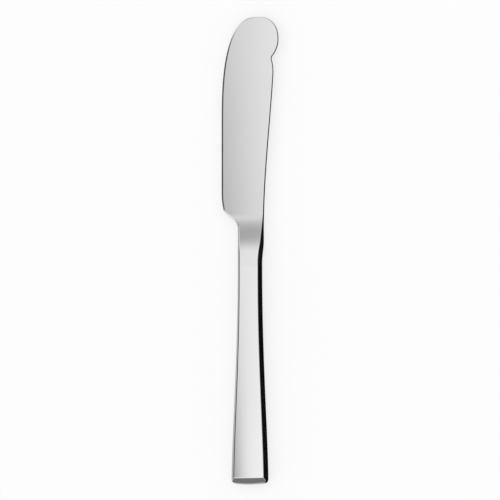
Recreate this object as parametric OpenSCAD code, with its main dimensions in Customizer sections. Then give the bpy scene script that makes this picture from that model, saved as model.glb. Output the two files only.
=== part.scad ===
// Butter knife with a hollow handle.
// It lies flat: the blade points along +Y, the cutting edge faces -X, and the knife rests on z = 0.
// Stations are distances from the butt along the knife, and half heights are taken from its middle plane.

/* [Overall] */
// Length from the butt to the tip
knife_l = 170; // [164:1:178]
// Length of the handle, from the butt to the joint with the neck
handle_l = 79; // [74:1:84]
// Thickness of the handle and of the neck where it meets the handle
handle_t = 6; // [5.6:0.1:6.8]

/* [Handle outline] */
// Width across the butt
butt_w = 13.44; // [12.4:0.1:14.6]
// Width where the handle meets the neck
neck_w = 8.86; // [8.4:0.1:9.6]
// Radius of the two corners of the butt, seen from above
butt_corner_r = 1.6; // [1:0.1:2]
// Bow of the butt's end, from its corners to its middle
butt_bow = 0.6; // [0.3:0.1:0.9]

/* [Handle section] */
// Drop of the face from its flat middle strip to its edge
crown_h = 0.18; // [0.1:0.02:0.26]
// Height of the bevel between the face and the rim
bevel_h = 1.45; // [1.2:0.05:1.6]
// Width of the side bevel at the butt
bevel_butt_w = 0.95; // [0.8:0.05:1.2]
// Width of the side bevel at the neck
bevel_neck_w = 0.7; // [0.6:0.05:0.9]
// Length of the bevel on the butt's end
bevel_end_l = 1.75; // [1.4:0.05:2.2]
// How far the rounded rim draws in up to the bevel
rim_round = 0.25; // [0.15:0.01:0.35]

/* [Handle shells] */
// Thickness of the pressed sheet
sheet_t = 0.7; // [0.5:0.05:0.8]
// Size of the groove along the joint of the shells, which the filler metal runs into
seam_groove = 0.3; // [0.2:0.02:0.4]

/* [Neck] */
// Length of the straight side of the neck, from the joint to the heel's fillet
neck_l = 13.6; // [12:0.2:15]
// Distance from the joint to where the neck starts to thin
swoop_start = 4; // [3:0.2:6]
// Length over which the neck thins down to the blade
swoop_l = 16; // [13:0.5:19]
// Distance from the joint to where the spine side starts to step out
shoulder_start = 1.2; // [0.6:0.1:2]
// Length of the step on the spine side
shoulder_l = 8.6; // [7:0.2:10]

/* [Cutting edge] */
// Distance from the knife's axis to the cutting edge
edge_reach = 10.5; // [10:0.1:11]
// Slope of the heel, between the neck and the cutting edge
heel_angle = 53; // [48:1:58]
// Radius of the fillet between the neck and the heel
heel_fillet_r = 4.6; // [3.8:0.1:5]
// Radius of the heel's corner
heel_corner_r = 2.4; // [1.8:0.1:2.8]
// Radius of the slow curve from the heel's corner to the straight edge
heel_lead_r = 30; // [24:1:34]
// Angle that the slow curve turns through
heel_lead_angle = 12; // [10:1:14]
// Length of the curve that brings the edge round to the tip
edge_sweep_l = 38; // [34:1:42]

/* [Spine] */
// Distance from the axis to the spine where it leaves the neck
spine_root = 5.06; // [4.9:0.02:5.3]
// Reach of the curve's first handle, which draws the spine in above the neck
spine_draw = 4.83; // [4.7:0.02:5.1]
// Reach of the curve's second handle, which lets the spine out towards the crest
spine_flare = 7.2; // [7:0.05:7.5]
// Distance from the axis to the crest below the notch
crest_reach = 8.62; // [8.5:0.02:8.8]
// Radius of the crest's lower side
crest_low_r = 43; // [38:1:48]
// Radius of the crest's upper side
crest_r = 13; // [11:0.5:15]
// Distance from the axis to the floor of the notch
notch_reach = 7.96; // [7.8:0.02:8.1]
// Radius of the notch
notch_r = 1.6; // [1.3:0.1:1.9]

/* [Tip] */
// Distance from the axis to the bulb's side
bulb_reach = 10.5; // [10.2:0.1:10.9]
// Radius of the bulb below its widest place
bulb_r = 9.3; // [8.6:0.1:10]
// Length of the tip beyond the bulb's widest place
bulb_l = 8.4; // [7.8:0.1:9]
// Distance from the axis to the foremost point of the tip
apex_reach = 2.7; // [2.2:0.1:3.2]

/* [Blade thickness] */
// Thickness of the spine where the blade starts
spine_t = 1.9; // [1.6:0.1:2.2]
// Thickness of the spine at the tip
tip_t = 1.2; // [1:0.05:1.5]
// Thickness of the cutting edge
edge_t = 0.62; // [0.5:0.02:0.8]
// Width of the bevel that thins the blade at its edge
edge_bevel_w = 0.5; // [0.4:0.05:0.7]
// Width of the small bevel along the spine
spine_bevel_w = 0.16; // [0.1:0.02:0.24]
// How far the blade's thin rim is rounded in
blade_round = 0.08; // [0.05:0.01:0.12]

/* [Tang] */
// Length of the spigot that centres the neck in the handle
spigot_l = 3; // [2:0.5:5]
// Gap all round between the spigot and the shells
spigot_gap = 0.05; // [0.02:0.01:0.1]
// Length of the tang beyond the spigot
tang_l = 34; // [26:1:40]
// Width of the tang
tang_w = 4.6; // [4:0.1:5]
// Thickness of the tang
tang_t = 2.2; // [1.8:0.1:2.6]
// Depth of the notches that key the tang into the cement
tang_notch_d = 0.9; // [0.5:0.1:1.2]
// Length of each notch
tang_notch_l = 3; // [2:0.2:4]
// Distance from one notch to the next
tang_notch_pitch = 8; // [7:0.5:9]
// Length of the tang's tapered end
tang_point_l = 2.4; // [1.5:0.1:3]

/* [Hidden] */

half_t = handle_t / 2;
neck_half_w = neck_w / 2;
butt_half_w = butt_w / 2;
rim_h = half_t - crown_h - bevel_h;
// Share of the handle's length by which its taper is drawn towards the butt
taper_skew_share = 0.78;
// Half width of the face's flat middle strip, as a share of the face's half width
flat_share = 1 / 7;
// Lines across a face, from one edge to the other
face_shares = [-1, -5 / 7, -3 / 7, -flat_share, flat_share, 3 / 7, 5 / 7, 1];
// Points up a rim, from the middle plane to the bevel
rim_shares = [0, 0.5, 1];
// Rows up the bevel of the butt
end_bevel_shares = [0.15, 0.35, 0.65, 1];
// Rows along the handle, and the distance to the first of them, in lengths of the butt's inner bevel
handle_row_count = 15;
first_row_share = 1.5;
// Distance along the handle over which the bow of the butt fades
bow_l = butt_w;
// Roundness of the edge's sweep and of the bulb, as powers of an ellipse
sweep_power = 2.6;
bulb_power = 2.3;
// The tip closes when this share of its length is left
tip_gap_share = 0.002;
// Height of the blade's rim, as a share of its half thickness there
blade_rim_share = 0.8;
// Thickness of the edge at the tip, as a share of its thickness at the heel
tip_edge_share = 0.86;
// How far the spigot and the tang reach into what carries them
sink = sheet_t;
// Small step for the slope of an outline
slope_step = knife_l / 100000;

function lerp(a, b, t) = a + (b - a) * t;
function clamp(t) = min(1, max(0, t));
function ease(t) = (1 - cos(180 * clamp(t))) / 2;
function unit(v) = v / norm(v);
function reversed(list) = [for (i = [len(list) - 1:-1:0]) list[i]];
function spread(a, b, n) = [for (i = [0:n - 1]) lerp(a, b, i / n)];
// How far a circle of radius r has left its tangent at a distance d along it
function rise(r, d) = r - sqrt(max(0, r * r - d * d));
function bezier(t, p) =
    pow(1 - t, 3) * p[0] + 3 * pow(1 - t, 2) * t * p[1] + 3 * (1 - t) * t * t * p[2] + pow(t, 3) * p[3];
function superellipse(t, power) = pow(max(0, 1 - pow(clamp(t), power)), 1 / power);

// Outline of the handle: it narrows to the neck, and the butt's corners are rounded
function corner_in(s, r) = s < r ? rise(r, r - s) : 0;
function handle_half_w(s) =
    lerp(neck_half_w, butt_half_w, (1 + cos(180 * pow(clamp(s / handle_l), taper_skew_share))) / 2);
function bevel_w(s) = lerp(bevel_butt_w, bevel_neck_w, clamp(s / handle_l));

// Outline of the cutting edge: neck, fillet, slope of the heel, corner, slow curve, straight edge, sweep
fillet_s = handle_l + neck_l;
heel_s = fillet_s + heel_fillet_r * sin(heel_angle);
heel_reach = neck_half_w + heel_fillet_r * (1 - cos(heel_angle));
lead_reach = edge_reach - heel_lead_r * (1 - cos(heel_lead_angle));
corner_x = lead_reach - heel_corner_r * cos(heel_lead_angle);
corner_reach = corner_x + heel_corner_r * cos(heel_angle);
corner_s = heel_s + (corner_reach - heel_reach) / tan(heel_angle);
corner_y = corner_s + heel_corner_r * sin(heel_angle);
lead_s = corner_y - heel_corner_r * sin(heel_lead_angle);
straight_s = lead_s + heel_lead_r * sin(heel_lead_angle);
sweep_s = knife_l - edge_sweep_l;
function edge_x(s) =
    s < fillet_s ? neck_half_w
    : s < heel_s ? neck_half_w + rise(heel_fillet_r, s - fillet_s)
    : s < corner_s ? lerp(heel_reach, corner_reach, (s - heel_s) / (corner_s - heel_s))
    : s < lead_s ? corner_x + heel_corner_r - rise(heel_corner_r, corner_y - s)
    : s < straight_s ? edge_reach - rise(heel_lead_r, straight_s - s)
    : (edge_reach + apex_reach) * superellipse((s - sweep_s) / edge_sweep_l, sweep_power) - apex_reach;

// Outline of the spine: shoulder, long curve, crest, notch and bulb, each arc tangent to the next
root_s = handle_l + shoulder_start + shoulder_l;
bulb_s = knife_l - bulb_l;
notch_x = notch_reach + notch_r;
notch_s = bulb_s - sqrt(pow(bulb_r + notch_r, 2) - pow(notch_x - bulb_reach + bulb_r, 2));
crest_s = notch_s - sqrt(pow(crest_r + notch_r, 2) - pow(notch_x - crest_reach + crest_r, 2));
notch_low_s = lerp(crest_s, notch_s, crest_r / (crest_r + notch_r));
notch_high_s = lerp(bulb_s, notch_s, bulb_r / (bulb_r + notch_r));
crest_slope = 3 * (crest_reach - spine_flare) / (crest_s - root_s);
spine_end_s = crest_s - crest_low_r * crest_slope;
spine_end_reach = crest_reach - rise(crest_low_r, crest_s - spine_end_s);
function spine_x(s) =
    s < root_s ? lerp(neck_half_w, spine_root, ease((s - handle_l - shoulder_start) / shoulder_l))
    : s < spine_end_s ? bezier((s - root_s) / (spine_end_s - root_s),
                               [spine_root, spine_draw, spine_flare, spine_end_reach])
    : s < crest_s ? crest_reach - rise(crest_low_r, crest_s - s)
    : s < notch_low_s ? crest_reach - rise(crest_r, s - crest_s)
    : s < notch_high_s ? notch_reach + rise(notch_r, s - notch_s)
    : s < bulb_s ? bulb_reach - rise(bulb_r, bulb_s - s)
    : lerp(apex_reach, bulb_reach, superellipse((s - bulb_s) / bulb_l, bulb_power));

// Directions into the blade from a place on its outline
function edge_in(s) = unit([1, (edge_x(s + slope_step) - edge_x(s - slope_step)) / (2 * slope_step)]);
function spine_in(s) = unit([-1, (spine_x(s + slope_step) - spine_x(s - slope_step)) / (2 * slope_step)]);

// Radius of a rim that is drawn in by some way over its height
function rim_r(height, draw) = (height * height + draw * draw) / (2 * draw);
function rim_turn(height, draw) = asin(height / rim_r(height, draw));
function rim(at, inward, height, draw) =
    [for (t = rim_shares)
        let (p = at + inward * rim_r(height, draw) * (1 - cos(rim_turn(height, draw) * t)))
        [p[0], p[1], rim_r(height, draw) * sin(rim_turn(height, draw) * t)]];

// Points across a face between two places, with a height for each line of the face
function face(a, b, heights) =
    [for (i = [0:len(heights) - 1])
        let (p = lerp(a, b, (1 + face_shares[i]) / 2))
        [p[0], p[1], heights[i]]];
function crown(share) = half_t - crown_h * max(0, share * share - flat_share * flat_share);

// A row over the outside of the handle at station s
function outer_row(s) =
    let (w = handle_half_w(s) - corner_in(s, butt_corner_r))
    let (in = rim_round + bevel_w(s))
    concat(
        rim([-w, s], [1, 0], rim_h, rim_round),
        face([-w + in, s], [w - in, s], [for (t = face_shares) crown(t)]),
        reversed(rim([w, s], [-1, 0], rim_h, rim_round)));

// Where the inside of a bevel meets the inside of the rim, and how far in it meets the face
function inner_rim_h(angle) =
    rim_h - sheet_t * cos(angle) - (rim_round - sheet_t * (1 - sin(angle))) * tan(angle);
function inner_bevel_in(width, angle) = rim_round + width + sheet_t * (tan(angle / 2) - 1);

// A row over the inside of a shell, with the groove for the filler metal at the middle plane
function inner_row(s) =
    let (w = handle_half_w(s) - sheet_t - corner_in(s - sheet_t, max(0, butt_corner_r - sheet_t)))
    let (angle = atan(bevel_h / bevel_w(s)))
    let (in = inner_bevel_in(bevel_w(s), angle))
    let (z = inner_rim_h(angle))
    concat(
        [[-w - seam_groove, s, 0], [-w, s, seam_groove], [-w, s, z]],
        face([-w + in, s], [w - in, s], [for (t = face_shares) crown(t) - sheet_t]),
        [[w, s, z], [w, s, seam_groove], [w + seam_groove, s, 0]]);

// A row cut off level at a height: the cut comes between two points near each end, and the rest is level
function cut_x(row, z, i, step) =
    row[i + step][2] > z ? lerp(row[i][0], row[i + step][0], (z - row[i][2]) / (row[i + step][2] - row[i][2]))
    : cut_x(row, z, i + step, step);
function level(row, z) =
    let (last = len(row) - 1)
    let (left = cut_x(row, z, 0, 1))
    let (right = cut_x(row, z, last, -1))
    let (span = row[last - 3][0] - row[3][0])
    [for (p = row)
        p[2] < z ? p
        : [lerp(left, right, clamp((p[0] - row[3][0]) / span)), p[1], z]];

// The butt: its rim is rounded like the sides, and its bevel climbs to the face
end_angle = atan(bevel_h / bevel_end_l);
outer_end = concat(
    [for (t = rim_shares)
        let (turn = rim_turn(rim_h, rim_round) * t)
        level(outer_row(rim_r(rim_h, rim_round) * (1 - cos(turn))), rim_r(rim_h, rim_round) * sin(turn))],
    [for (t = end_bevel_shares) level(outer_row(rim_round + bevel_end_l * t), rim_h + bevel_h * t)],
    [outer_row(rim_round + bevel_end_l * (bevel_h + crown_h) / bevel_h)]);
inner_end_h = inner_rim_h(end_angle);
inner_end_s = rim_round + bevel_end_l + sheet_t * tan(end_angle / 2);
inner_roof_h = half_t - crown_h - sheet_t;
inner_crease_s = inner_end_s + crown_h / tan(end_angle);
inner_end = concat(
    [[for (p = level(inner_row(sheet_t), 0)) [p[0], p[1] - seam_groove, 0]]],
    [level(inner_row(sheet_t), seam_groove), level(inner_row(sheet_t), inner_end_h)],
    [for (t = end_bevel_shares)
        level(inner_row(lerp(sheet_t, inner_end_s, t)), lerp(inner_end_h, inner_roof_h, t))],
    [inner_row(inner_crease_s)]);

// Stations along the handle, from the butt to the joint with the neck
handle_s = concat(
    spread(inner_crease_s * first_row_share, handle_l - spigot_l, handle_row_count),
    [handle_l - spigot_l, handle_l]);

// The butt's end bows outwards between its corners
function bowed(rows) =
    [for (row = rows) [for (p = row)
        let (fade = 1 - clamp(p[1] / bow_l))
        [p[0], p[1] + butt_bow * pow(p[0] / butt_half_w, 2) * fade * fade, p[2]]]];
shell_outside = bowed(concat(outer_end, [for (s = handle_s) outer_row(s)]));
shell_inside = bowed(concat(inner_end, [for (s = handle_s) inner_row(s)]));

// Stations along the neck and blade: the places where the outline turns, and the rows up to each
tip_s = knife_l - bulb_l * tip_gap_share;
turn_s = [handle_l, fillet_s, heel_s, corner_s, lead_s, straight_s, spine_end_s, crest_s, notch_low_s,
          notch_high_s, bulb_s];
turn_row_counts = [8, 6, 2, 5, 4, 11, 2, 3, 5, 6];
tip_row_count = 12;
blade_s = concat(
    [for (i = [1:len(turn_s) - 1]) each spread(turn_s[i - 1], turn_s[i], turn_row_counts[i - 1])],
    [for (i = [0:tip_row_count - 1]) bulb_s + (tip_s - bulb_s) * sin(90 * i / tip_row_count)],
    [tip_s]);

// Half thickness of the blade: it thins from the spine's side to the edge's, and towards the tip
function blade_h(x, s) =
    let (along = (s - handle_l) / (knife_l - handle_l))
    let (across = (bulb_reach - x) / (bulb_reach + edge_reach))
    lerp(lerp(spine_t, tip_t, along), lerp(edge_t, edge_t * tip_edge_share, along), across * across) / 2;

// How much of the neck's section is left at a station: it thins into the blade in one long swoop
function neck_left(s) = 1 - ease((s - handle_l - swoop_start) / swoop_l);
function blade_face_h(p, share) = lerp(blade_h(p[0], p[1]), crown(share), neck_left(p[1]));
function blade_row(s) =
    let (neck = neck_left(s))
    let (draw = lerp(blade_round, rim_round, neck))
    let (left = [-edge_x(s), s])
    let (right = [spine_x(s), s])
    let (into = [edge_in(s), spine_in(s)])
    let (bevel = [for (v = into)
        draw + lerp(lerp(spine_bevel_w, edge_bevel_w, (1 + v[0]) / 2), bevel_neck_w, neck)])
    let (rim_top = [for (p = [left, right]) lerp(blade_h(p[0], s) * blade_rim_share, rim_h, neck)])
    let (a = left + into[0] * bevel[0])
    let (b = right + into[1] * bevel[1])
    concat(
        rim(left, into[0], rim_top[0], draw),
        face(a, b, [for (t = face_shares) blade_face_h(lerp(a, b, (1 + t) / 2), t)]),
        reversed(rim(right, into[1], rim_top[1], draw)));

// The last row closes in steps: its middle drops to the line between two points further out
function closing(row, i) =
    [for (j = [0:len(row) - 1])
        j < i || j > len(row) - 1 - i ? row[j]
        : lerp(row[i], row[len(row) - 1 - i], (j - i) / (len(row) - 1 - 2 * i))];
blade_rows = concat(
    [for (s = blade_s) blade_row(s)],
    [for (i = [len(rim_shares) - 1:-1:0]) closing(blade_row(tip_s), i)]);

// Two triangles, or one where two of the corners are the same
function quad(a, b, c, d) =
    [for (t = [[a, b, c], [a, c, d]]) if (t[0] != t[1] && t[1] != t[2] && t[2] != t[0]) t];

// A solid through closed rings of points; each end is closed by strips between the points j and turn - j
module skin(rings, turn) {
    n = len(rings[0]);
    last = (len(rings) - 1) * n;
    end = [for (j = [0:floor((turn - 1) / 2)]) each quad(j, j + 1, (turn - j - 1) % n, (turn - j) % n)];
    polyhedron(
        [for (ring = rings) each ring],
        concat(
            [for (k = [1:len(rings) - 1], j = [0:n - 1])
                each quad((k - 1) * n + j, k * n + j, k * n + (j + 1) % n, (k - 1) * n + (j + 1) % n)],
            end,
            [for (t = end) [last + t[0], last + t[2], last + t[1]]]));
}

// A solid that is the same above and below the middle plane
module slab(rows)
    skin([for (row = rows) concat(row, [for (i = [len(row) - 2:-1:1]) [row[i][0], row[i][1], -row[i][2]]])],
         2 * len(rows[0]) - 2);

// A solid between an upper and a lower skin, or between the outside and the inside of a sheet
module sheet(upper, lower)
    skin([for (k = [0:len(upper) - 1]) concat(upper[k], reversed(lower[k]))], 2 * len(upper[0]) - 1);

// From stations to the knife's own frame: it lies on z = 0, with its middle at y = 0
module placed() translate([0, -knife_l / 2, half_t]) children();

// The spigot fills the mouth of the handle, and the tang behind it is notched to hold in the cement
module tang_bar() {
    keys = floor((tang_l - tang_point_l - tang_notch_pitch / 2) / tang_notch_pitch);
    top = handle_l - spigot_l;
    translate([0, 0, -tang_t / 2])
        linear_extrude(tang_t)
            difference() {
                polygon([
                    [-tang_w / 2, top + sink],
                    [-tang_w / 2, top - tang_l + tang_point_l],
                    [-tang_w / 2 + tang_point_l / 2, top - tang_l],
                    [tang_w / 2 - tang_point_l / 2, top - tang_l],
                    [tang_w / 2, top - tang_l + tang_point_l],
                    [tang_w / 2, top + sink]]);
                for (i = [1:keys], side = [-1, 1])
                    translate([side * tang_w / 2, top - i * tang_notch_pitch])
                        square([2 * tang_notch_d, tang_notch_l], center = true);
            }
}

module spigot() {
    mouth = [for (p = inner_row(handle_l - spigot_l)) if (p[2] > 0) [p[0], p[2]]];
    w = mouth[0][0];
    top = mouth[3][1];
    ring = concat(mouth, [for (p = reversed(mouth)) [p[0], -p[1]]]);
    translate([0, handle_l + sink, 0])
        rotate([90, 0, 0])
            linear_extrude(sink + spigot_l)
                polygon([for (p = ring) [p[0] * (w + spigot_gap) / w, p[1] * (top - spigot_gap) / top]]);
}

module blade()
    color("lightsteelblue")
        placed()
            union() {
                slab(blade_rows);
                spigot();
                tang_bar();
            }

module half_shell() placed() sheet(shell_outside, shell_inside);
module handle_front_shell() color("gainsboro") half_shell();
module handle_back_shell() color("silver") translate([0, 0, handle_t]) mirror([0, 0, 1]) half_shell();

// The filler metal lies in the groove, up one side, round the butt and down the other side
module seam_braze() {
    last = len(shell_inside[0]) - 1;
    side_rows = [for (k = [len(shell_inside) - 1:-1:1]) shell_inside[k]];
    path = concat(
        [for (row = side_rows) [row[0], row[1]]],
        [for (j = [1:last - 1]) [shell_inside[0][j], shell_inside[1][j]]],
        [for (row = reversed(side_rows)) [row[last], row[last - 1]]]);
    color("goldenrod")
        placed()
            skin([for (p = path) [p[0], p[1], [p[1][0], p[1][1], -p[1][2]]]], 3);
}

// The cement fills the handle up to the spigot, round the tang
module tang_cement() {
    last = len(shell_inside[0]) - 1;
    fill = [for (k = [2:len(shell_inside) - 2]) [for (j = [2:last - 2]) shell_inside[k][j]]];
    color("tan")
        placed()
            difference() {
                sheet(fill, [for (row = fill) [for (p = row) [p[0], p[1], -p[2]]]]);
                tang_bar();
            }
}

blade();
handle_front_shell();
handle_back_shell();
seam_braze();
tang_cement();
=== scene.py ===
from math import asin, cos, pi, radians, sin, sqrt, tan

import bmesh
import bpy
from mathutils import Matrix, Vector


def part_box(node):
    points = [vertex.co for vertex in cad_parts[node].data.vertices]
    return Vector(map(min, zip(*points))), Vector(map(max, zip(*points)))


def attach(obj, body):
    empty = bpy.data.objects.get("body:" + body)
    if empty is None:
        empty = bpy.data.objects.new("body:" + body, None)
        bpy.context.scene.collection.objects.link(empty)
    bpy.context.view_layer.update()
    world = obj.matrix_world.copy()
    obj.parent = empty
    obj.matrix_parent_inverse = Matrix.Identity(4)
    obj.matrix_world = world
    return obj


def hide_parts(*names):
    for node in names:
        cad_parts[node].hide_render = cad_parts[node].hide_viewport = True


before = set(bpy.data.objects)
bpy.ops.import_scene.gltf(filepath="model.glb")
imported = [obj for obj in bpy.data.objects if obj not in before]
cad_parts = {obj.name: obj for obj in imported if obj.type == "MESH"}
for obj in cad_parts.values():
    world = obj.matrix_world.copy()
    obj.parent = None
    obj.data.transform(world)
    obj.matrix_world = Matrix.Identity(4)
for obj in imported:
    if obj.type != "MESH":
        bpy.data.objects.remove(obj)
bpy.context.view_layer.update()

# The blade and its neck are one forging of hardened stainless steel, ground thin, given a blunt
# edge and polished. A spigot behind the neck plugs the handle's mouth, and they are brazed there.
mm = 0.001
blade_low, blade_high = (Vector(corner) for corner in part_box("blade"))
shell_low, shell_high = (Vector(corner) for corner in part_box("handle_front_shell"))
butt_y = shell_low.y
knife_l = 170 * mm
handle_l = shell_high.y - butt_y
middle_z = (blade_low.z + blade_high.z) / 2
half_t = blade_high.z - middle_z
neck_half_w = 4.43 * mm
butt_crown_r = 68 * mm
neck_crown_r = 600 * mm
flattening_power = 0.8
rim_h = 1.37 * mm
rim_round = 0.25 * mm
rim_turn_share = 0.8
bevel_neck_w = 0.7 * mm
polish_reach = 0.31 * mm
longest_reach_share = 0.4
joint_chamfer = 0.03 * mm
swoop_start = 4 * mm
swoop_l = 16 * mm
spine_t = 1.9 * mm
tip_t = 1.2 * mm
edge_t = 0.62 * mm
tip_edge_share = 0.86
edge_bevel_w = 0.5 * mm
spine_bevel_w = 0.16 * mm
blade_round = 0.08 * mm
blade_rim_share = 0.8
blade_polish_reach = 0.07 * mm
narrowest_face = 0.01 * mm


def lerp(a, b, t):
    return a + (b - a) * t


def clamp(t):
    return min(1.0, max(0.0, t))


def ease(t):
    return (1 - cos(pi * clamp(t))) / 2


def spread(a, b, n):
    return [lerp(a, b, i / n) for i in range(n)]


def rise(r, d):
    """How far a circle of radius r has left its tangent at a distance d along it."""
    return r - sqrt(max(0.0, r * r - d * d))


def crown_rise(s, d):
    """How far the face has dropped at a distance d from its middle. Its crown flattens out
    from the butt to the neck."""
    flattened = clamp(s / handle_l) ** flattening_power
    return rise(1 / lerp(1 / butt_crown_r, 1 / neck_crown_r, flattened), d)


def superellipse(t, power):
    return max(0.0, 1 - clamp(t) ** power) ** (1 / power)


# The cutting edge's outline: neck, fillet, slope of the heel, corner, slow curve, straight, sweep
edge_reach = 10.5 * mm
heel_angle = radians(53)
fillet_r = 4.6 * mm
corner_r = 2.4 * mm
lead_r = 30 * mm
lead_angle = radians(12)
apex_reach = 2.7 * mm
sweep_l = 38 * mm
sweep_power = 2.6
fillet_s = handle_l + 13.6 * mm
heel_s = fillet_s + fillet_r * sin(heel_angle)
heel_reach = neck_half_w + fillet_r * (1 - cos(heel_angle))
corner_x = edge_reach - lead_r * (1 - cos(lead_angle)) - corner_r * cos(lead_angle)
corner_reach = corner_x + corner_r * cos(heel_angle)
corner_s = heel_s + (corner_reach - heel_reach) / tan(heel_angle)
corner_centre_s = corner_s + corner_r * sin(heel_angle)
lead_s = corner_centre_s - corner_r * sin(lead_angle)
straight_s = lead_s + lead_r * sin(lead_angle)
sweep_s = knife_l - sweep_l


def edge_x(s):
    if s < fillet_s:
        return neck_half_w
    if s < heel_s:
        return neck_half_w + rise(fillet_r, s - fillet_s)
    if s < corner_s:
        return lerp(heel_reach, corner_reach, (s - heel_s) / (corner_s - heel_s))
    if s < lead_s:
        return corner_x + corner_r - rise(corner_r, corner_centre_s - s)
    if s < straight_s:
        return edge_reach - rise(lead_r, straight_s - s)
    swept = superellipse((s - sweep_s) / sweep_l, sweep_power)
    return (edge_reach + apex_reach) * swept - apex_reach


# The spine's outline: shoulder, long curve, crest, notch and bulb, each arc tangent to the next
shoulder_s = handle_l + 1.2 * mm
root_s = shoulder_s + 8.6 * mm
spine_root = 5.06 * mm
spine_draw = 4.83 * mm
spine_flare = 7.2 * mm
crest_reach = 8.62 * mm
crest_low_r = 43 * mm
crest_r = 13 * mm
notch_reach = 7.96 * mm
notch_r = 1.6 * mm
bulb_reach = 10.5 * mm
bulb_r = 9.3 * mm
bulb_l = 8.4 * mm
bulb_power = 2.3
bulb_s = knife_l - bulb_l
notch_x = notch_reach + notch_r
notch_s = bulb_s - sqrt((bulb_r + notch_r) ** 2 - (notch_x - bulb_reach + bulb_r) ** 2)
crest_s = notch_s - sqrt((crest_r + notch_r) ** 2 - (notch_x - crest_reach + crest_r) ** 2)
notch_low_s = lerp(crest_s, notch_s, crest_r / (crest_r + notch_r))
notch_high_s = lerp(bulb_s, notch_s, bulb_r / (bulb_r + notch_r))
crest_slope = 3 * (crest_reach - spine_flare) / (crest_s - root_s)
spine_end_s = crest_s - crest_low_r * crest_slope
spine_end_reach = crest_reach - rise(crest_low_r, crest_s - spine_end_s)


def spine_x(s):
    if s < root_s:
        return lerp(neck_half_w, spine_root, ease((s - shoulder_s) / (root_s - shoulder_s)))
    if s < spine_end_s:
        t = (s - root_s) / (spine_end_s - root_s)
        drawn = (1 - t) ** 3 * spine_root + 3 * (1 - t) ** 2 * t * spine_draw
        return drawn + 3 * (1 - t) * t * t * spine_flare + t ** 3 * spine_end_reach
    if s < crest_s:
        return crest_reach - rise(crest_low_r, crest_s - s)
    if s < notch_low_s:
        return crest_reach - rise(crest_r, s - crest_s)
    if s < notch_high_s:
        return notch_reach + rise(notch_r, s - notch_s)
    if s < bulb_s:
        return bulb_reach - rise(bulb_r, bulb_s - s)
    return lerp(apex_reach, bulb_reach, superellipse((s - bulb_s) / bulb_l, bulb_power))


def inward(outline, s, side):
    """The direction into the blade from its outline, at right angles to it."""
    step = 0.001 * mm
    slope = (outline(s + step) - outline(s - step)) / (2 * step)
    return Vector((-side, slope)).normalized()


# How many steps take a row of points up a rim, round an edge, up a bevel and across the face
rim_steps = 6
round_steps = 6
bevel_steps = 6
face_steps = 30
foot_point = rim_steps + round_steps
top_point = foot_point + bevel_steps
flank_points = top_point + round_steps + 1
# Share of a face's half width over which its slope at the bevel is read
slope_share = 0.02


def blended(a, corner, b):
    """Points on the curve that rounds off a corner, from a to b."""
    shares = [i / round_steps for i in range(round_steps + 1)]
    return [a * (1 - t) ** 2 + corner * 2 * t * (1 - t) + b * t * t for t in shares]


def flank(height, draw, bevel_w, face_h, face_slope, reach):
    """A rim and the bevel above it, as pairs of a distance in from the outline and a height.
    Polishing has rounded off the bevel's two edges, over the given reach."""
    r = (height * height + draw * draw) / (2 * draw)
    turn = asin(height / r) * rim_turn_share
    angles = [turn * i / rim_steps for i in range(rim_steps + 1)]
    rim = [Vector((r * (1 - cos(angle)), r * sin(angle))) for angle in angles]
    foot = Vector((draw, height))
    top = Vector((draw + bevel_w, face_h))
    up = (top - foot).normalized()
    reach = min(reach, (top - foot).length * longest_reach_share)
    start = foot + up * min((foot - rim[-1]).length, reach)
    end = top - up * reach
    bevel = [start.lerp(end, i / bevel_steps) for i in range(1, bevel_steps)]
    onto_face = top + Vector((1, face_slope)).normalized() * reach
    return rim[:-1] + blended(rim[-1], foot, start) + bevel + blended(end, top, onto_face)


def section(left, right, left_in, right_in, left_flank, right_flank, face_height):
    """A row of points over the knife. face_height gives the height at a share from -1 to 1."""
    from_left = [Vector((*(left + left_in * d), z)) for d, z in left_flank]
    from_right = [Vector((*(right + right_in * d), z)) for d, z in right_flank]
    a, b = from_left[-1], from_right[-1]
    shares = [-cos(pi * i / face_steps) for i in range(1, face_steps)]
    face = [Vector((*a.lerp(b, (1 + t) / 2).xy, face_height(t))) for t in shares]
    return from_left + face + from_right[::-1]


def blade_h(x, s):
    """Half the blade's thickness, which falls from its spine side to its edge and to its tip."""
    along = (s - handle_l) / (knife_l - handle_l)
    across = (bulb_reach - x) / (bulb_reach + edge_reach)
    edge = lerp(edge_t, edge_t * tip_edge_share, along)
    return lerp(lerp(spine_t, tip_t, along), edge, across * across) / 2


def neck_left(s):
    """How much of the neck's section is left at a station: it thins into the blade in one swoop."""
    return 1 - ease((s - handle_l - swoop_start) / swoop_l)


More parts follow.
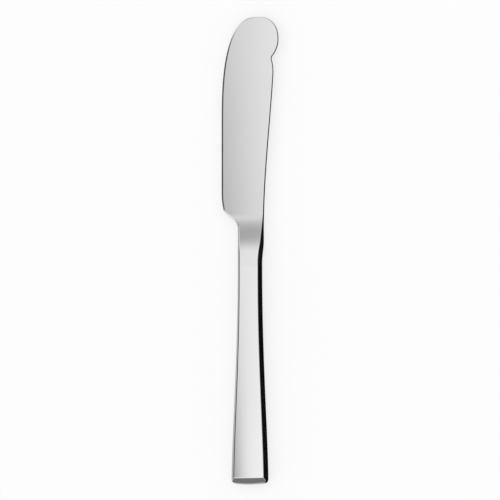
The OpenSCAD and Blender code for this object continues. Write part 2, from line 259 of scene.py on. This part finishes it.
def blade_row(s, inset=0.0):
    """A row over the blade or the neck, or as far inside its outline as inset says."""
    neck = neck_left(s)
    draw = lerp(blade_round, rim_round, neck)
    reach = lerp(blade_polish_reach, polish_reach, neck)
    ends = [Vector((-edge_x(s), s)), Vector((spine_x(s), s))]
    into = [inward(edge_x, s, -1), inward(spine_x, s, 1)]
    widths = [lerp(lerp(spine_bevel_w, edge_bevel_w, (1 + v.x) / 2), bevel_neck_w, neck) for v in into]
    creases = [p + v * (draw + w) for p, v, w in zip(ends, into, widths)]
    face_half = max((creases[1] - creases[0]).length / 2, narrowest_face)

    def height(t):
        p = creases[0].lerp(creases[1], (1 + t) / 2)
        crowned = half_t - inset - crown_rise(s, face_half * t)
        return lerp(blade_h(p.x, p.y), crowned, neck_left(p.y))

    def side(end, width, t):
        rim = lerp(blade_h(end.x, s) * blade_rim_share, rim_h - inset, neck)
        slope = (height(t * (1 - slope_share)) - height(t)) / (face_half * slope_share)
        return flank(rim, draw, width, height(t), slope, reach)

    kept = max(0, 1 - reach / face_half)
    return section(
        ends[0] + into[0] * inset,
        ends[1] + into[1] * inset,
        into[0],
        into[1],
        side(ends[0], widths[0], -1),
        side(ends[1], widths[1], 1),
        lambda t: height(t * kept),
    )


def whole_ring(row):
    """A row of the upper half with its mirror image below, as one closed ring."""
    return row + [Vector((p.x, p.y, -p.z)) for p in row[-2:0:-1]]


def closed_mesh(name, rings):
    """An object through closed rings of points, with its first and last ring filled in. It is
    smooth, but for its ends and the edges that turn by more than the sharp angle."""
    same_place = 0.0005 * mm
    sharp_angle = radians(50)
    n = len(rings[0])
    last = n * (len(rings) - 1)
    points = [Vector((p.x, butt_y + p.y, middle_z + p.z)) for ring in rings for p in ring]
    faces = [tuple(range(n)), tuple(range(last, last + n))]
    for start in range(0, last, n):
        for j in range(n):
            a, b = start + j, start + (j + 1) % n
            faces.append((a, a + n, b + n, b))
    mesh = bpy.data.meshes.new(name)
    mesh.from_pydata(points, [], faces)
    work = bmesh.new()
    work.from_mesh(mesh)
    bmesh.ops.remove_doubles(work, verts=work.verts, dist=same_place)
    bmesh.ops.recalc_face_normals(work, faces=work.faces)
    for face in work.faces:
        face.smooth = len(face.verts) <= 4
    for edge in work.edges:
        edge.smooth = edge.calc_face_angle(0) < sharp_angle
    work.to_mesh(mesh)
    work.free()
    piece = bpy.data.objects.new(name, mesh)
    bpy.context.scene.collection.objects.link(piece)
    return piece


def closing(row, i):
    """The row with its middle drawn down to the line between two points nearer its ends."""
    j = len(row) - 1 - i
    return [p if k < i or k > j else row[i].lerp(row[j], (k - i) / (j - i)) for k, p in enumerate(row)]


# The stations where the outline turns from one curve to the next, and the rows that lead up to each
outline_turns = [
    (fillet_s, 44),
    (heel_s, 16),
    (corner_s, 8),
    (lead_s, 12),
    (straight_s, 12),
    (crest_s, 60),
    (notch_low_s, 10),
    (notch_high_s, 18),
    (bulb_s, 16),
]
tip_row_count = 48
tip_gap_share = 0.0005
tip_s = knife_l - bulb_l * tip_gap_share
# The rows closest to the joint, in chamfers from it, and the distance to the next row
rows_beside_joint = (1, 3, 6)
next_row_l = 0.5 * mm
blade_stations = [handle_l + joint_chamfer * i for i in rows_beside_joint]
reached = handle_l + next_row_l
for turn_s, count in outline_turns:
    blade_stations += spread(reached, turn_s, count)
    reached = turn_s
tip_turns = [pi / 2 * i / tip_row_count for i in range(tip_row_count + 1)]
blade_stations += [bulb_s + (tip_s - bulb_s) * sin(turn) for turn in tip_turns]
blade_rows = [blade_row(handle_l, joint_chamfer)] + [blade_row(s) for s in blade_stations]
blade_rows += [closing(blade_rows[-1], i) for i in range(flank_points - 1, -1, -1)]
blade = closed_mesh("blade_and_neck", [whole_ring(row) for row in blade_rows])

# Behind the neck the forging goes on inside the handle: the spigot fills the mouth, and a flat
# tang, notched so that the cement keys into it, reaches down the middle.
spigot_l = 3 * mm
spigot_inset = 0.75 * mm
forged_into = 0.7 * mm
tang_l = 34 * mm
tang_half_w = 2.3 * mm
tang_half_t = 1.1 * mm
tang_point_l = 2.4 * mm
tang_notch_d = 0.9 * mm
tang_notch_l = 3 * mm
tang_notch_pitch = 8 * mm
tang_notch_count = 3
tang_top = handle_l - spigot_l
spigot_row = blade_row(handle_l, spigot_inset)
spigot_ends = (tang_top, handle_l + forged_into)
spigot = closed_mesh(
    "spigot", [whole_ring([Vector((p.x, s, p.z)) for p in spigot_row]) for s in spigot_ends]
)
tang_side = [(tang_half_w, tang_top + forged_into)]
notch_floor_x = tang_half_w - tang_notch_d
for i in range(1, tang_notch_count + 1):
    notch_y = tang_top - tang_notch_pitch * i
    tang_side += [(x, notch_y + tang_notch_l / 2) for x in (tang_half_w, notch_floor_x)]
    tang_side += [(x, notch_y - tang_notch_l / 2) for x in (notch_floor_x, tang_half_w)]
tang_side.append((tang_half_w, tang_top - tang_l + tang_point_l))
tang_side.append((tang_half_w - tang_point_l / 2, tang_top - tang_l))
tang_outline = tang_side + [(-x, y) for x, y in reversed(tang_side)]
tang_faces_z = (-tang_half_t, tang_half_t)
tang = closed_mesh("tang", [[Vector((x, y, z)) for x, y in tang_outline] for z in tang_faces_z])
forging = bmesh.new()
for piece in (blade, spigot, tang):
    forging.from_mesh(piece.data)
forging.to_mesh(blade.data)
forging.free()
bpy.data.objects.remove(spigot)
bpy.data.objects.remove(tang)
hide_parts("blade")
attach(blade, "root")


class Wire:
    """An output socket. Arithmetic on it adds Math nodes to its material or world."""

    def __init__(self, tree, socket=None):
        self.tree = tree
        self.socket = socket

    def node(self, kind, settings=None, inputs=None, output=0):
        made = self.tree.nodes.new(kind)
        for name, value in (settings or {}).items():
            if name == "stops":
                ramp = made.color_ramp
                while len(ramp.elements) < len(value):
                    ramp.elements.new(1)
                for element, (place, grey) in zip(ramp.elements, value):
                    element.position = place
                    element.color = (grey, grey, grey, 1)
            else:
                setattr(made, name, value)
        for name, value in (inputs or {}).items():
            if isinstance(value, Wire):
                self.tree.links.new(value.socket, made.inputs[name])
            else:
                made.inputs[name].default_value = value
        return Wire(self.tree, made.outputs[output]) if made.outputs else None

    def part(self, output):
        """Another output of the same node."""
        return Wire(self.tree, self.socket.node.outputs[output])

    def maths(self, operation, a, b):
        return self.node("ShaderNodeMath", {"operation": operation}, {0: a, 1: b})

    def __add__(self, other):
        return self.maths("ADD", self, other)

    def __sub__(self, other):
        return self.maths("SUBTRACT", self, other)

    def __rsub__(self, other):
        return self.maths("SUBTRACT", other, self)

    def __mul__(self, other):
        return self.maths("MULTIPLY", self, other)

    __radd__ = __add__
    __rmul__ = __mul__


def first_wire(owner):
    """The start of a new tree of nodes for a material or a world."""
    owner.use_nodes = True
    owner.node_tree.nodes.clear()
    return Wire(owner.node_tree)


def polished_steel(name, tint, roughness, lines, haze):
    """Polished stainless steel: fine lines along the knife from the buffing wheel, a little haze
    where it has been handled, and a few hairline scratches from washing."""
    scratch_haze = 0.04
    scratch_depth = 0.35
    worn_shade = 0.96
    material = bpy.data.materials.new(name)
    start = first_wire(material)
    place = start.node("ShaderNodeTexCoord", output="Object")

    def noise(detail, stretch, turn=0.0):
        at = start.node(
            "ShaderNodeMapping",
            inputs={"Vector": place, "Rotation": (0, 0, turn), "Scale": stretch},
        )
        return start.node("ShaderNodeTexNoise", inputs={"Vector": at, "Scale": 1.0, "Detail": detail})

    buffing = noise(3.0, (3500, 90, 3500))
    handling = noise(4.0, (110, 60, 110))
    scratches = start.node(
        "ShaderNodeValToRGB",
        {"stops": [(0.7, 0), (0.76, 1)]},
        {"Fac": noise(2.0, (5200, 70, 5200), radians(24))},
    )
    rough = roughness + buffing * lines + handling * haze + scratches * scratch_haze
    relief = buffing + scratches * -scratch_depth
    bump = start.node(
        "ShaderNodeBump", inputs={"Strength": 0.03, "Distance": 0.01 * mm, "Height": relief}
    )
    colour = start.node(
        "ShaderNodeMix",
        {"data_type": "RGBA"},
        {0: handling, 6: (*tint, 1), 7: (*(c * worn_shade for c in tint), 1)},
        output=2,
    )
    surface = start.node(
        "ShaderNodeBsdfPrincipled",
        inputs={"Base Color": colour, "Metallic": 1.0, "Roughness": rough, "Normal": bump},
    )
    start.node("ShaderNodeOutputMaterial", inputs={"Surface": surface})
    return material


blade.data.materials.append(polished_steel("blade_steel", (0.87, 0.87, 0.88), 0.07, 0.05, 0.04))

# The handle is two half shells pressed from stainless sheet, with a bevel round their faces.
# They meet edge to edge along the sides and round the butt, and the joint is polished away.
butt_half_w = 6.72 * mm
butt_corner_r = 1.6 * mm
butt_bow = 0.6 * mm
bevel_butt_w = 0.95 * mm
bevel_end_l = 1.75 * mm
bevel_end_h = 1.45 * mm
end_polish_reach = 0.12 * mm
taper_skew_share = 0.78
sheet_t = 0.7 * mm
# Share of an inset by which the rim's height falls on the inside of the sheet
rim_inset_share = 0.62
# A level that cuts nothing off
above_all = 1.0


def handle_half_w(s):
    taper = (1 + cos(pi * clamp(s / handle_l) ** taper_skew_share)) / 2
    return lerp(neck_half_w, butt_half_w, taper)


def softened(z, level, reach):
    """The lower of two heights, with the edge where they cross rounded off."""
    overlap = max(0, reach - abs(z - level))
    return min(z, level) - (overlap * overlap / (4 * reach) if overlap else 0)


def handle_row(s, inset=0.0, level=above_all):
    """A row over the outside of a shell, or as far inside it as inset says. On the butt the row is
    cut off at the level that the end's rim and bevel have climbed to. Its rounded corners cut into
    the side bevels, so there the rim is higher, and the bevels meet in straight mitres."""
    corner = max(0.0, butt_corner_r - inset)
    cut = rise(corner, corner - s + inset) if s < corner + inset else 0
    w = handle_half_w(s) - inset - cut
    bevel_w = lerp(bevel_butt_w, bevel_neck_w, clamp(s / handle_l))
    face_half = w + cut - rim_round - bevel_w

    def height(t):
        return half_t - inset - crown_rise(s, face_half * t)

    def across(side, face_height):
        left, right = Vector((-w, s)), Vector((w, s))
        return section(left, right, Vector((1, 0)), Vector((-1, 0)), side, side, face_height)

    crease_h = height(1)
    rim = lerp(rim_h - inset * rim_inset_share, crease_h, clamp(cut / bevel_w))
    bevel_w = max(0.0, bevel_w - cut)
    if level > crease_h:
        slope = (height(1 - slope_share) - crease_h) / (face_half * slope_share)
        side = flank(rim, rim_round, bevel_w, crease_h, slope, polish_reach)
        kept = 1 - polish_reach / face_half
        soft = min(end_polish_reach, 2 * (level - crease_h))
        row = across(side, lambda t: height(t * kept))
        return [Vector((p.x, p.y, softened(p.z, level, soft))) for p in row]
    climbed = max(0, (level - rim) / (crease_h - rim)) if rim < crease_h else 0
    reach = lerp(end_polish_reach, polish_reach, climbed ** 6)
    side = flank(rim, rim_round, bevel_w * climbed, max(level, rim), 0, reach)
    if level < rim:
        rim_r = (rim * rim + rim_round * rim_round) / (2 * rim_round)
        side = [Vector((rise(rim_r, z * level / rim), z * level / rim)) for d, z in side]
    return across(side, lambda t: level)


def shell_rows(inset=0.0):
    """The butt's rim and bevel, then the handle up to the neck; the butt's end bows outwards."""
    end_bevel_rows = 16
    crease_rows = 16
    crease_row_gap = 0.035 * mm
    long_rows = 90
    rim = rim_h - inset * rim_inset_share
    steel = flank(rim, rim_round, bevel_end_l, rim + bevel_end_h, 0, end_polish_reach)
    foot, top = steel[foot_point], steel[top_point]
    climb = Vector((1, bevel_end_h / bevel_end_l)) * crease_row_gap
    profile = steel[:foot_point] + spread(foot, top, end_bevel_rows)
    profile += [top + climb * i for i in range(crease_rows)]
    rows = [handle_row(d + inset, inset, z) for d, z in profile]
    whole_s = profile[-1].x + inset + 0.1 * mm
    mouth_s = handle_l - 1 * mm
    rows += [handle_row(s, inset) for s in spread(whole_s, mouth_s, long_rows)]
    rows += [handle_row(handle_l - joint_chamfer * i, inset) for i in reversed(rows_beside_joint)]
    rows.append(handle_row(handle_l, inset + joint_chamfer))
    for row in rows:
        for p in row:
            fade = 1 - clamp(p.y / (2 * butt_half_w))
            p.y += butt_bow * (p.x / butt_half_w) ** 2 * fade * fade
    return rows


handle_steel = polished_steel("handle_steel", (0.89, 0.89, 0.9), 0.05, 0.04, 0.03)


def half_shell(name, side):
    rings = [a + b[::-1] for a, b in zip(shell_rows(), shell_rows(sheet_t))]
    for ring in rings:
        for p in ring:
            p.z *= side
    shell = closed_mesh(name, rings)
    shell.data.materials.append(handle_steel)
    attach(shell, "root")
    return shell


front_shell = half_shell("handle_front", 1)
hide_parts("handle_front_shell")
back_shell = half_shell("handle_back", -1)
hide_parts("handle_back_shell")


# Inside the handle, filler metal has run into the groove along the joint of the shells, and
# cement poured in round the tang has set hard.
def inner_material(name, dark, light, grain, metallic, rough, depth):
    material = bpy.data.materials.new(name)
    start = first_wire(material)
    place = start.node("ShaderNodeTexCoord", output="Object")
    speckle = start.node("ShaderNodeTexNoise", inputs={"Vector": place, "Scale": grain, "Detail": 6.0})
    colour = start.node(
        "ShaderNodeMix",
        {"data_type": "RGBA"},
        {0: speckle, 6: (*dark, 1), 7: (*light, 1)},
        output=2,
    )
    bump = start.node("ShaderNodeBump", inputs={"Strength": 0.4, "Distance": depth, "Height": speckle})
    surface = start.node(
        "ShaderNodeBsdfPrincipled",
        inputs={
            "Base Color": colour,
            "Metallic": metallic,
            "Roughness": speckle * 0.3 + rough,
            "Normal": bump,
        },
    )
    start.node("ShaderNodeOutputMaterial", inputs={"Surface": surface})
    return material


def dress(node, material):
    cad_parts[node].data.materials.clear()
    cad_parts[node].data.materials.append(material)


braze_dark, braze_light = (0.62, 0.58, 0.5), (0.8, 0.77, 0.7)
cement_dark, cement_light = (0.36, 0.33, 0.29), (0.58, 0.55, 0.5)
silver_braze = inner_material("silver_braze", braze_dark, braze_light, 900, 1.0, 0.25, 0.04 * mm)
hard_cement = inner_material("hard_cement", cement_dark, cement_light, 1500, 0.0, 0.6, 0.1 * mm)
dress("seam_braze", silver_braze)
dress("tang_cement", hard_cement)


# The knife lies on a table covered with white paper. The paper takes the knife's faint shadow and glows
# a little so that it stays white. Only the steel's reflections see it as a flat grey instead, which is
# painted shade in the reflection.
def laid_sheet(name, corners, z):
    mesh = bpy.data.meshes.new(name)
    mesh.from_pydata([(x, y, z) for x, y in corners], [], [tuple(range(len(corners)))])
    sheet = bpy.data.objects.new(name, mesh)
    bpy.context.scene.collection.objects.link(sheet)
    return sheet


floor_half = 3.0
floor_z = -0.2 * mm
floor_corners = [(i * floor_half, j * floor_half) for i, j in ((-1, -1), (1, -1), (1, 1), (-1, 1))]
floor = laid_sheet("floor", floor_corners, floor_z)
paper = bpy.data.materials.new("white_table")
start = first_wire(paper)
rays = start.node("ShaderNodeLightPath", output="Is Glossy Ray")
# Painted shade: a flat grey glow that only reflections see in place of the lit paper
painted_reflection_grey = start.node("ShaderNodeEmission", inputs={"Color": (0.49, 0.485, 0.515, 1), "Strength": 1.0})
lit = start.node("ShaderNodeBsdfDiffuse", inputs={"Color": (0.97, 0.97, 0.97, 1)})
bright = start.node("ShaderNodeEmission", inputs={"Color": (0.99, 0.99, 0.99, 1)})
white = start.node("ShaderNodeMixShader", inputs={0: 0.7, 1: lit, 2: bright})
shown = start.node("ShaderNodeMixShader", inputs={0: rays, 1: white, 2: painted_reflection_grey})
start.node("ShaderNodeOutputMaterial", inputs={"Surface": shown})
floor.data.materials.append(paper)

# A black sheet lies from under the knife's right side outwards, and from the butt on. The camera
# doesn't see it and it casts no shadow. Only reflections show it, so it is a painted dark reflection
# along the knife's right side.
card_near = 3 * mm
card_far = 2.0
card_z = -0.1 * mm
card_corners = [(card_near, butt_y), (card_far, -card_far), (card_far, card_far), (card_near, card_far)]
card = laid_sheet("black_reflection_card", card_corners, card_z)
card.visible_camera = False
card.visible_diffuse = False
card.visible_shadow = False
black = bpy.data.materials.new("painted_black_reflection")
start = first_wire(black)
# Painted dark reflection: a near-black glow that only reflections see
dark = start.node("ShaderNodeEmission", inputs={"Color": (0.002, 0.002, 0.002, 1)})
start.node("ShaderNodeOutputMaterial", inputs={"Surface": dark})
card.data.materials.append(black)

# The room is evenly white. Only the steel's reflections see more: a painted reflection of a large soft
# light overhead, and painted shade from grey cards placed where its edges, its butt and the thinning
# neck mirror them.
world = bpy.data.worlds.new("studio")
bpy.context.scene.world = world
start = first_wire(world)
direction = start.node("ShaderNodeTexCoord", output="Generated")
x = start.node("ShaderNodeSeparateXYZ", inputs={"Vector": direction})
y = x.part("Y")
z = x.part("Z")


def ramp(share, stops):
    """A grey that follows a direction's share along one axis, where 0 and 1 are -1 and 1."""
    return start.node("ShaderNodeValToRGB", {"stops": stops}, {"Fac": share * 0.5 + 0.5})


# Painted reflection of a soft light: brightest straight above, and dimmer towards the horizon and below
# it
overhead = ramp(z, [(0.45, 0.42), (0.56, 0.5), (0.7, 0.72), (0.85, 0.95), (0.95, 1)])
# Painted shade, seen only in reflections, on the left of the crowned face and the crease beside it
left_painted_shade = ramp(
    x, [(0.25, 0.97), (0.29, 0.83), (0.33, 0.57), (0.353, 0.39), (0.375, 0.21), (0.4, 0.08), (0.46, 0)]
) * ramp(y, [(0.5, 0), (0.53, 1), (0.6, 1), (0.66, 0)])
# Painted dark reflection that carries the black sheet up past the horizon on the right. Above it is a
# painted grey reflection
right_painted_black = ramp(x, [(0.9, 0), (0.96, 0.95)]) * ramp(z, [(0.56, 1), (0.62, 0)])
right_painted_grey = ramp(x, [(0.55, 0), (0.72, 0.2), (0.86, 0.42), (0.97, 0.55)])
# Painted shade, seen only in reflections, on the bevel on the butt's end
butt_painted_shade = (
    ramp(y, [(0.0, 0.71), (0.12, 0.6), (0.3, 0.05), (0.45, 0)])
    * ramp(x, [(0.22, 0), (0.32, 1), (0.48, 1), (0.56, 0)])
    * ramp(z, [(0.66, 1), (0.76, 0.3), (0.9, 0)])
)
# Painted shade, seen only in reflections, on the slope where the neck thins into the blade
neck_painted_shade = ramp(y, [(0.6, 0), (0.76, 0.6), (0.86, 0)]) * ramp(
    x, [(0.22, 0), (0.33, 1), (0.5, 1), (0.62, 0)]
)
past_sides = (1 - left_painted_shade) * (1 - right_painted_black) * (1 - right_painted_grey)
past_ends = (1 - butt_painted_shade) * (1 - neck_painted_shade)
mirrored = overhead * past_sides * past_ends
# Painted reflection: glossy rays see this patterned room, and every other ray sees plain white
painted_reflection_room = start.node("ShaderNodeBackground", inputs={"Color": mirrored})
room = start.node("ShaderNodeBackground", inputs={"Color": (1, 1, 1, 1)})
glossy = start.node("ShaderNodeLightPath", output="Is Glossy Ray")
seen = start.node("ShaderNodeMixShader", inputs={0: glossy, 1: room, 2: painted_reflection_room})
start.node("ShaderNodeOutputWorld", inputs={"Surface": seen})

# The camera looks down on the knife through a long lens, a little from its spine side and a
# little from the butt, with the knife upright in the picture.
camera_data = bpy.data.cameras.new("camera")
camera = bpy.data.objects.new("camera", camera_data)
bpy.context.scene.collection.objects.link(camera)
bpy.context.scene.camera = camera
camera_data.lens = 500
camera_data.sensor_width = 36
camera_data.clip_end = 20
side_tilt = radians(12)
end_tilt = radians(6)
filled_share = 0.94
view = Vector((tan(side_tilt), -tan(end_tilt), 1)).normalized()
right = Vector((0, 1, 0)).cross(view).normalized()
distance = knife_l / filled_share * camera_data.lens / camera_data.sensor_width
aim = Vector((0, 0, middle_z))
camera.matrix_world = Matrix.Translation(aim + view * distance) @ Matrix(
    (right, view.cross(right), view)
).transposed().to_4x4()
bpy.context.scene.view_settings.view_transform = "Standard"
